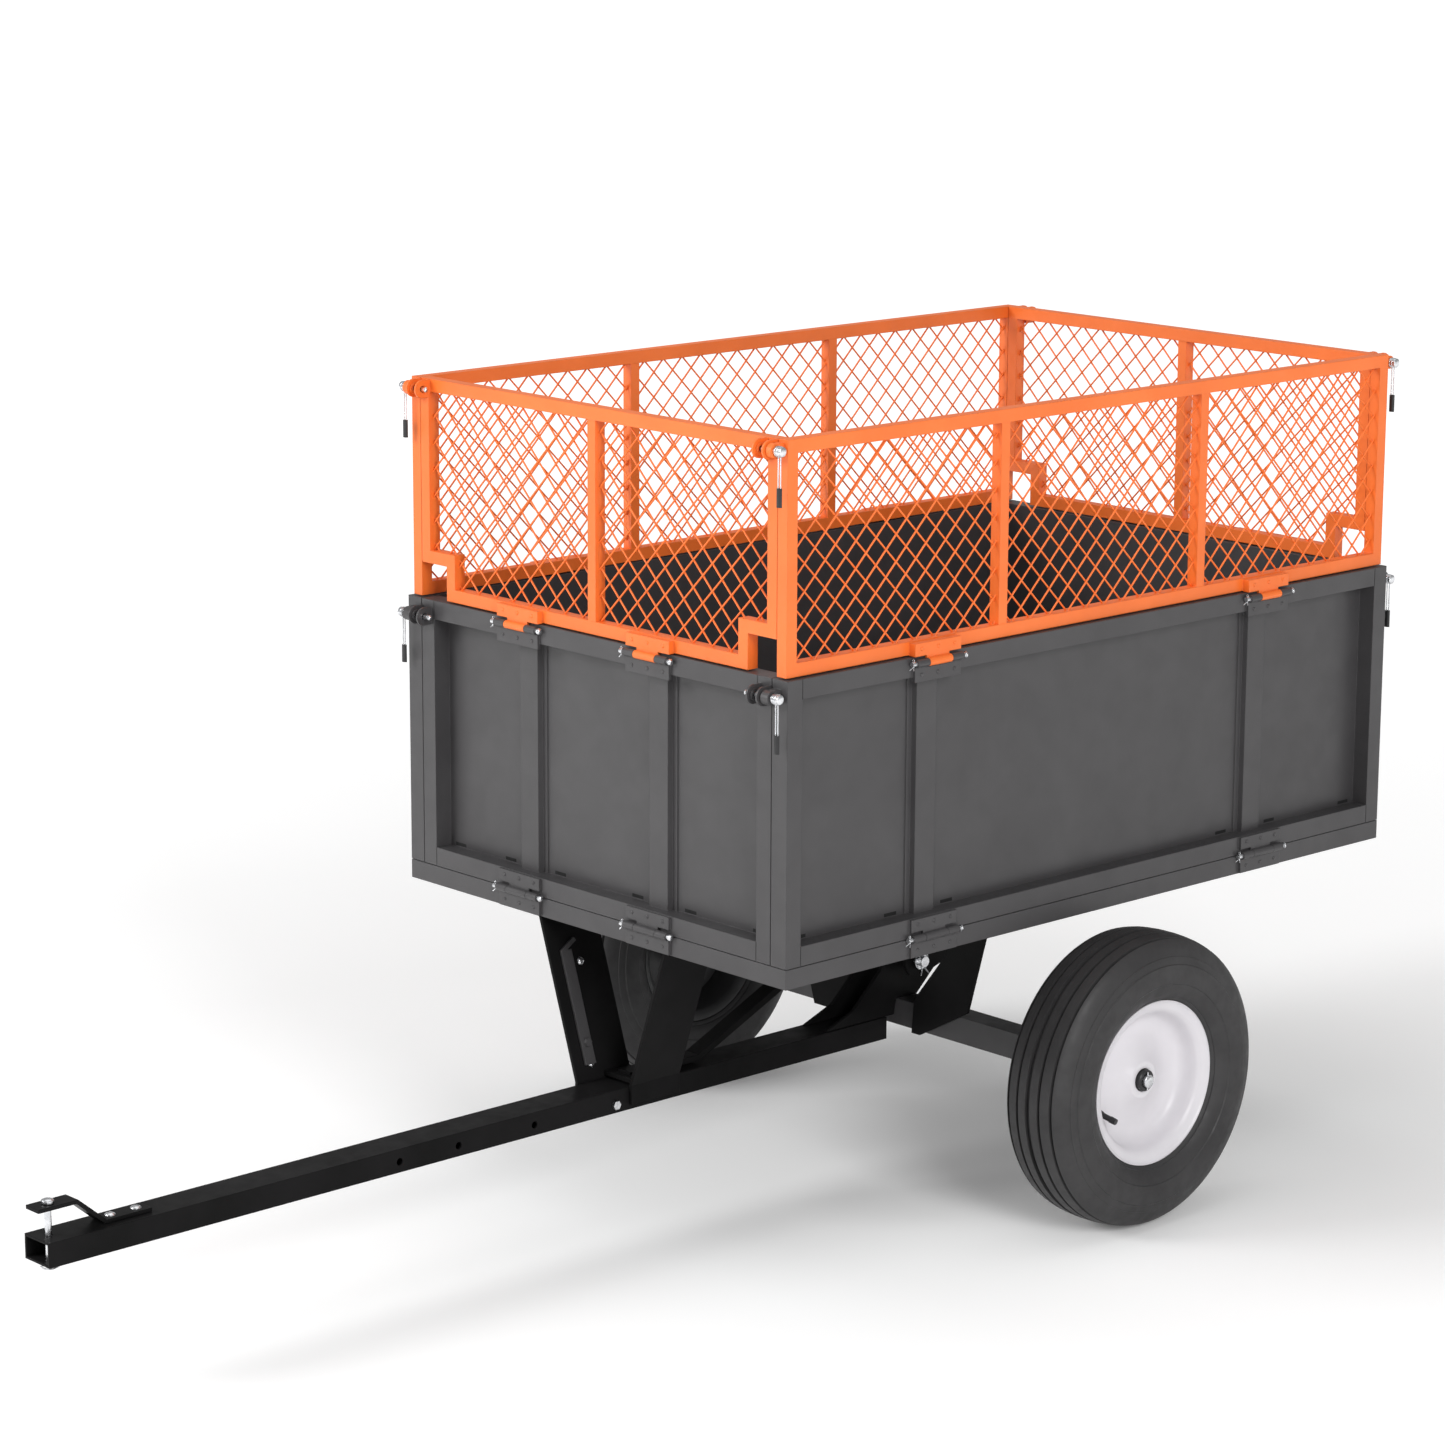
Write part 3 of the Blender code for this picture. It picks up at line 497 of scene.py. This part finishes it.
def put_hinge_pin(bm, u):
    """A pin through a hinge at u: its two ends, its head, and a split pin."""
    for a, b in ((-0.0500, -0.0415), (0.0415, 0.0465)):
        put_cylinder(bm, (u + a, 0, 0), (u + b, 0, 0), HINGE_PIN_R, 18)
    put_cylinder(bm, (u + 0.0465, 0, 0), (u + 0.0485, 0, 0), HINGE_HEAD_R, 20)
    put_dome(bm, (u + 0.0485, 0, 0), (1, 0, 0), HINGE_HEAD_R, 0.0020, 20)
    hole = u + SPLIT_PIN_U
    for s in (-1, 1):
        legs = [
            (hole, 0.0004 * s, 0.0040), (hole, 0.0003 * s, -0.0036),
            (hole - 0.001 * (s + 2), 0.0016 * s, -0.0060),
            (hole - 0.0035 - 0.001 * s, 0.0030 * s, -0.0080),
        ]
        put_wire(bm, legs, SPLIT_PIN_R)
    ring = circle(10) + [2 * math.pi]
    eye = [(hole, EYE_R * math.sin(a), EYE_RISE + EYE_R * math.cos(a)) for a in ring]
    put_wire(bm, eye, SPLIT_PIN_R)


def make_hinge_details():
    """Rivets on every leaf, and the zinc pin with its head and split pin."""
    for side in TURNS:
        lower_body, upper_body = f"{side}_side", f"{side}_extension"
        rows = (
            ("bed", BLACK, "side", LOWER_LEAF_ROW, "lower_fixed"),
            (lower_body, BLACK, "side", MOVING_LEAF_ROW, "lower_moving"),
            (lower_body, BLACK, "extension", LOWER_LEAF_ROW, "upper_fixed"),
            (upper_body, ORANGE, "extension", MESH_LEAF_ROW, "upper_moving"),
        )
        for body, finish, tier, w, label in rows:
            bm = bmesh.new()
            for u in hinges(side):
                for step in (-RIVET_SPACING, 0.0, RIVET_SPACING):
                    spot = (u + step, LEAF_FACE + 0.0002, w)
                    put_dome(bm, spot, (0, -1, 0), RIVET_R, RIVET_HEIGHT)
            bm.transform(panel_matrix(side, tier))
            add_piece(f"{side}_{label}_rivets", bm, finish, body)
        for tier, body in (("side", "bed"), ("extension", lower_body)):
            bm = bmesh.new()
            for u in hinges(side):
                put_hinge_pin(bm, u)
            bm.transform(panel_matrix(side, tier))
            add_piece(f"{side}_{tier}_hinge_pins", bm, ZINC, body)


# ---- drop panels ----------------------------------------------------------------------
SEAM_HALF = 0.0005
SLOT_HALF = 0.011
SLOT_LOW, SLOT_HIGH = 0.0015, 0.0060  # above the lower rail
SLOT_FROM_HINGE = 0.052
SLOT_FROM_POST = 0.022


def make_panel_details():
    """Dark weld seams where rails meet posts, and drain slots low in the recess drawn as flat near-black patches
    of painted shade.
    """
    for side in TURNS:
        half = END_PANEL_HALF if is_end(side) else side_frame_half() + PANEL_PAST_MESH_FRAME
        bm = bmesh.new()
        rails = (
            (PANEL_LOW + 0.0004, PANEL_LOW + TUBE), (PANEL_HIGH - TUBE, PANEL_HIGH - 0.0004)
        )
        for s in (-1, 1):
            u = s * (half - TUBE)
            for rail in rails:
                across = (HINGE_OUT - 0.00015, HINGE_OUT + 0.001)
                put_box(bm, (u - SEAM_HALF, u + SEAM_HALF), across, rail)
        back = HINGE_OUT + TUBE
        rail_top = PANEL_LOW + TUBE
        marks = [u + s * SLOT_FROM_HINGE for u in hinges(side) for s in (-1, 1)]
        marks += [s * (half - TUBE - SLOT_FROM_POST) for s in (-1, 1)]
        # The drain slots are flat near-black patches on the sheet: painted shade for the slot openings, not holes.
        for u in marks:
            put_box(
                bm, (u - SLOT_HALF, u + SLOT_HALF), (back - 0.0002, back + 0.001),
                (rail_top + SLOT_LOW, rail_top + SLOT_HIGH),
            )
        bm.transform(panel_matrix(side, "side"))
        add_piece(f"{side}_panel_seams_and_shaded_slots", bm, SEAM_AND_SLOT_SHADE, f"{side}_side", None)


# ---- mesh panels ----------------------------------------------------------------------
def crossings(outline, start, way):
    """Where a line crosses an outline, as distances along it, in pairs."""
    found = []
    for (ax, az), (bx, bz) in zip(outline, outline[1:] + outline[:1]):
        ex, ez = bx - ax, bz - az
        det = way[0] * ez - way[1] * ex
        if abs(det) < 1e-12:
            continue
        t = ((ax - start[0]) * ez - (az - start[1]) * ex) / det
        s = ((ax - start[0]) * way[1] - (az - start[1]) * way[0]) / det
        if 0.0 <= s < 1.0:
            found.append(t)
    found.sort()
    return list(zip(found[::2], found[1::2]))


MESH_GROW = 0.0018  # how far the wires run on past the sheet, into the tubes
NOTCH_OVERLAP = 0.0014
SHORTEST_WIRE = 0.004
MESH_REACH = 0.4


def mesh_outline(side):
    """The mesh frame's window in its own frame, a little inside its tubes."""
    low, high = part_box(f"{side}_mesh")
    axis = 0 if is_end(side) else 1
    half = (high[axis] - low[axis]) / 2 + MESH_GROW
    bottom, top = low.z - MESH_GROW - UPPER_PIN_Z, high.z + MESH_GROW - UPPER_PIN_Z
    if not is_end(side):
        return [(-half, bottom), (half, bottom), (half, top), (-half, top)]
    inner = NOTCH_X - MESH_TUBE + NOTCH_OVERLAP
    step = NOTCH_TOP - UPPER_PIN_Z + MESH_TUBE - NOTCH_OVERLAP
    right = [(inner, bottom), (inner, step), (half, step), (half, top)]
    return right + [(-u, w) for u, w in reversed(right)]


def make_mesh_lattices():
    """Square wire mesh set at 45 degrees: two layers that touch where they cross."""
    diagonal = math.sqrt(0.5)
    for side in TURNS:
        outline = mesh_outline(side)
        middle = HINGE_OUT + MESH_INSET[side] + MESH_TUBE / 2
        bm = bmesh.new()
        reach = max(abs(u) for u, _ in outline) + MESH_REACH
        for tilt, v in ((1, middle - WIRE_R * 0.8), (-1, middle + WIRE_R * 0.8)):
            way = (diagonal, tilt * diagonal)
            count = int(reach / WIRE_PITCH) + 2
            for k in range(-count, count + 1):
                start = ((k + 0.25) * WIRE_PITCH, outline[0][1])
                for a, b in crossings(outline, start, way):
                    if b - a < SHORTEST_WIRE:
                        continue
                    ends = [(start[0] + way[0] * t, v, start[1] + way[1] * t) for t in (a, b)]
                    put_cylinder(bm, ends[0], ends[1], WIRE_R, 8)
        bm.transform(panel_matrix(side, "extension"))
        lattice = add_piece(f"{side}_wire_mesh", bm, WIRE_ORANGE, f"{side}_extension", 50)
        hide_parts(f"{side}_mesh")


UPRIGHT_HALF = 0.0078
UPRIGHT_SPAN = (0.0115, 0.3070)  # above the upper hinge pin


def make_upright_backs():
    """The inner half of each upright in the mesh panels, behind the wires."""
    third = side_frame_half() / 3
    for side in TURNS:
        front = HINGE_OUT + MESH_INSET[side]
        spots = (0.0,) if is_end(side) else (-third, third)
        bm = bmesh.new()
        for u in spots:
            deep = (front + 0.0068, front + MESH_TUBE - 0.0004)
            put_box(bm, (u - UPRIGHT_HALF, u + UPRIGHT_HALF), deep, UPRIGHT_SPAN)
        bm.transform(panel_matrix(side, "extension"))
        add_piece(f"{side}_upright_backs", bm, ORANGE, f"{side}_extension", None)


# ---- latches --------------------------------------------------------------------------
EAR_OUT = {"latch": 0.3465, "mesh_latch": 0.3502}
EAR_GAP = 0.015
BOSS_PROFILE = ((-0.0014, 0.0046), (-0.0014, 0.0078), (0.0014, 0.0078), (0.0014, 0.0046))


def make_latch_details():
    """Rings and rounded ends on the pull pins, and a boss on each of their two ears."""
    for tier, part, z, _, outer in TIERS:
        for end, side in CORNERS:
            label = f"{tier}_{end}_{side}"
            sx = 1 if side == "left" else -1
            low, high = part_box(f"{label}_pin")
            y = pin_middle_y(label)
            bm = bmesh.new()
            tip = min(abs(low.x), abs(high.x)) * sx
            put_dome(bm, (tip, y, z), (-sx, 0, 0), 0.0035, 0.0022)
            for x in (outer - 0.0035, outer - 0.0075):
                put_cylinder(bm, (sx * x, y, z), (sx * (x - 0.0012), y, z), 0.0071, 20)
            put_dome(bm, (sx * outer, y, z), (sx, 0, 0), 0.0065, 0.0014, 18)
            add_piece(f"{label}_pin_rings", bm, ZINC, label)
            bm = bmesh.new()
            for x in (EAR_OUT[tier] - 0.0016, EAR_OUT[tier] - EAR_GAP + 0.0016):
                put_lathe(bm, [(x + dx, r) for dx, r in BOSS_PROFILE], 24, (0.0, y, z))
            if sx < 0:
                bmesh.ops.transform(bm, matrix=Matrix.Scale(-1, 4, (1, 0, 0)), verts=bm.verts)
            finish = BLACK if tier == "latch" else ORANGE
            add_piece(f"{label}_ear_bosses", bm, finish, f"{end}_{part}")


# ---- towing gear and undercarriage -----------------------------------------------------
STRAP_BOLTS = (BED_Y - 1.398, BED_Y - 1.360)
STRAP_THICK = 0.005
CLIP_R = 0.0010
PIVOT_END = 0.052  # from the middle of the cart to the washers on the pivot shaft
STRUT_LEAN = 0.34  # how far a strut moves outward for each metre it rises
STRUT_BOLTS = ((-0.570, 0.150, 0.0062), (-0.590, 0.018, 0.0050))  # y, rise, radius


def make_tow_details():
    """The strap's bolts and nuts, and the head and spring clip of the hitch pin."""
    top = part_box("hitch_strap")[0].z + STRAP_THICK
    bm = bmesh.new()
    for y in STRAP_BOLTS:
        put_dome(bm, (0.0, y, top), (0, 0, 1), 0.0072, 0.0030, 20)
    add_piece("strap_bolt_heads", bm, ZINC, "chassis")
    bar_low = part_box("drawbar")[0].z
    bm = bmesh.new()
    for y in STRAP_BOLTS:
        put_cylinder(bm, (0, y, bar_low), (0, y, bar_low - 0.0055), 0.0075, 6)
        put_cylinder(bm, (0, y, bar_low - 0.0055), (0, y, bar_low - 0.0085), 0.0036, 14)
    add_piece("strap_bolt_nuts", bm, ZINC, "chassis")
    pin_low, pin_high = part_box("hitch_pin")
    y = (pin_low.y + pin_high.y) / 2
    z = pin_low.z + 0.004
    bm = bmesh.new()
    put_dome(bm, (0, y, pin_high.z - 0.0003), (0, 0, 1), 0.0080, 0.0026, 22)
    put_wire(bm, [(0.0, y - 0.012, z), (0.0, y + 0.020, z)], CLIP_R)
    bow = [
        (0.0, y - 0.012 + 0.034 * t, z - 0.0075 * math.sin(math.pi * t) ** 0.7)
        for t in (k / 14 for k in range(15))
    ]
    put_wire(bm, bow, CLIP_R)
    add_piece("hitch_pin_head_and_clip", bm, ZINC, "hitch_pin_body")


def make_undercarriage_details():
    """Washers and clips on the ends of the pivot shaft, and the bolts in a strut."""
    bm = bmesh.new()
    for s in (-1, 1):
        x = s * PIVOT_END
        washer = [(x - s * 0.0015, AXLE_Y, PIVOT_Z), (x + s * 0.0005, AXLE_Y, PIVOT_Z)]
        put_cylinder(bm, *washer, 0.0125, 24)
        put_cylinder(bm, (x, AXLE_Y, PIVOT_Z), (x + s * 0.008, AXLE_Y, PIVOT_Z), 0.0078, 20)
        x += s * 0.0045
        for side in (-1, 1):
            legs = ((0.0, 0.0010, 0.0160), (0.0, 0.0070, 0.0085), (0.0, 0.0075, 0.0))
            legs += ((0.0, 0.0030, -0.0110), (0.003, 0.0085, -0.0190))
            clip = [(x + s * dx, AXLE_Y + side * dy, PIVOT_Z + dz) for dx, dy, dz in legs]
            put_wire(bm, clip, 0.0011)
    add_piece("pivot_washers_and_clips", bm, ZINC, "chassis")
    bm = bmesh.new()
    lean = Vector((1.0, 0.0, STRUT_LEAN)).normalized()
    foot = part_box("strut_right")[0].z + 0.027
    for y, rise, radius in STRUT_BOLTS:
        spot = Vector((-(0.0272 + STRUT_LEAN * rise), BED_Y + y, foot + rise))
        put_dome(bm, spot, lean, radius, radius * 0.62, 18)
    add_piece("strut_bolts", bm, ZINC, "bed")


# ---- wheels ---------------------------------------------------------------------------
def tyre_profile():
    """Half the tyre's section from the bead out to the middle of the tread."""
    side = [
        (0.0140, 0.0964), (0.0280, 0.1022), (0.0352, 0.1064), (0.0386, 0.1142), (0.0430, 0.1148),
        (0.0446, 0.1164), (0.0462, 0.1196), (0.0478, 0.1202), (0.0500, 0.1228), (0.0530, 0.1275),
        (0.0553, 0.1330), (0.0568, 0.1385), (0.0576, 0.1392), (0.0583, 0.1400), (0.0590, 0.1455),
        (0.0592, 0.1520), (0.0590, 0.1590), (0.0583, 0.1655), (0.0575, 0.1662), (0.0566, 0.1668),
        (0.0556, 0.1725), (0.0542, 0.1765), (0.0532, 0.1770), (0.0520, 0.1800), (0.0500, 0.1850),
        (0.0478, 0.1895), (0.0455, 0.1930), (0.0425, 0.1965),
    ]
    tread = [
        (0.0400, 0.1982), (0.0392, 0.1945), (0.0366, 0.1945), (0.0358, 0.1995), (0.0285, 0.2012),
        (0.0215, 0.2020), (0.0207, 0.1970), (0.0178, 0.1970), (0.0170, 0.2024), (0.0100, 0.2029),
        (0.0040, 0.2030), (0.0033, 0.1978), (0.0000, 0.1978),
    ]
    return side + tread


# The rim's outer face and its back, as (x, radius) from the wheel's middle outwards.
RIM_FRONT = (
    (0.0240, 0.0160), (0.0246, 0.0175), (0.0246, 0.0245), (0.0236, 0.0262), (0.0200, 0.0300),
    (0.0150, 0.0395), (0.0110, 0.0480), (0.0082, 0.0560), (0.0066, 0.0620), (0.0060, 0.0680),
    (0.0062, 0.0760), (0.0080, 0.0830), (0.0120, 0.0885), (0.0180, 0.0920), (0.0260, 0.0940),
    (0.0330, 0.0960), (0.0370, 0.0990), (0.0392, 0.1040), (0.0405, 0.1090), (0.0425, 0.1120),
    (0.0440, 0.1130), (0.0436, 0.1142), (0.0405, 0.1136), (0.0385, 0.1115), (0.0360, 0.1055),
    (0.0280, 0.1013), (0.0120, 0.0955), (0.0025, 0.0955), (0.0025, 0.0600), (0.0190, 0.0225),
    (0.0190, 0.0160),
)
RIM_REAR = (
    (0.0022, 0.0600), (0.0022, 0.0953), (-0.0120, 0.0955), (-0.0280, 0.1013), (-0.0360, 0.1055),
    (-0.0395, 0.1130), (-0.0425, 0.1134), (-0.0415, 0.1090), (-0.0370, 0.1010), (-0.0340, 0.0985),
    (0.0000, 0.0885), (0.0005, 0.0600), (0.0165, 0.0235), (-0.0450, 0.0235), (-0.0450, 0.0160),
    (0.0187, 0.0160), (0.0187, 0.0222),
)
HUB_WASHER = ((0.0, 0.0098), (0.0, 0.0148), (0.0030, 0.0148), (0.0042, 0.0136), (0.0042, 0.0098))
HUB_FACE = 0.0264  # from the wheel's middle to the washer
VALVE_RADIUS = 0.078
VALVE_ANGLE = math.radians(-118)
VALVE_LEAN_ANGLE = math.radians(205)
VALVE_LEAN = 0.25
SPLIT_PIN_HALF = 0.0125
RIM_SIDES = 112


def put_valve(bm, s):
    """A rubber foot, a stem and a cap, leaning outwards from the rim's face."""
    lean = VALVE_LEAN
    out = Vector((s, -lean * math.sin(VALVE_LEAN_ANGLE), lean * math.cos(VALVE_LEAN_ANGLE)))
    out.normalize()
    foot = Vector((
        s * (WHEEL_X + 0.0075),
        AXLE_Y + VALVE_RADIUS * math.sin(VALVE_ANGLE),
        AXLE_Z + VALVE_RADIUS * math.cos(VALVE_ANGLE),
    ))
    put_cylinder(bm, foot - out * 0.002, foot + out * 0.006, 0.0058, 20, 0.0046)
    put_cylinder(bm, foot + out * 0.006, foot + out * 0.020, 0.0040, 18)
    put_cylinder(bm, foot + out * 0.020, foot + out * 0.029, 0.0047, 18, 0.0043)


def make_wheels():
    """Ribbed tyre, dished rim, valve, and the washer and split pin on the axle's end."""
    for side, s in (("left", 1), ("right", -1)):
        centre = (s * WHEEL_X, AXLE_Y, AXLE_Z)
        body = f"wheel_{side}"
        half = tyre_profile()
        bm = bmesh.new()
        put_lathe(bm, half + [(-x, r) for x, r in reversed(half[:-1])], 120, centre)
        tyre = add_piece(f"{side}_tyre_moulding", bm, RUBBER, body, 28)
        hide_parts(f"tyre_{side}")
        bm = bmesh.new()
        put_lathe(bm, [(s * x, r) for x, r in RIM_FRONT], RIM_SIDES, centre)
        rim = add_piece(f"{side}_rim_face", bm, PALE, body, 35)
        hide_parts(f"rim_{side}")
        # The rim's back, coloured near black as painted shade.
        bm = bmesh.new()
        put_lathe(bm, [(s * x, r) for x, r in RIM_REAR], RIM_SIDES, centre)
        add_piece(f"{side}_rim_back", bm, RIM_BACK_PAINTED_SHADE, body, 35)
        bm = bmesh.new()
        put_valve(bm, s)
        add_piece(f"{side}_valve_stem", bm, PLASTIC, body)
        bm = bmesh.new()
        hub = s * (WHEEL_X + HUB_FACE)
        put_lathe(bm, [(hub + s * x, r) for x, r in HUB_WASHER], 40, (0.0, AXLE_Y, AXLE_Z))
        add_piece(f"{side}_hub_washer", bm, PLASTIC, body)
        bm = bmesh.new()
        end = abs(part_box(f"axle_end_{side}")[0 if s < 0 else 1].x)
        put_dome(bm, (s * end, AXLE_Y, AXLE_Z), (s, 0, 0), 0.0092, 0.0022, 30)
        pin_x = s * (end - 0.003)
        pin = [(pin_x, AXLE_Y, AXLE_Z + dz) for dz in (-SPLIT_PIN_HALF, SPLIT_PIN_HALF)]
        put_wire(bm, pin, 0.0012)
        add_piece(f"{side}_axle_tip", bm, ZINC, "chassis")


make_camera()
make_ropes()
paint_cad_nodes()
make_stage()
make_wheels()
make_mesh_lattices()
make_upright_backs()
make_hinge_details()
make_panel_details()
make_latch_details()
make_tow_details()
make_undercarriage_details()
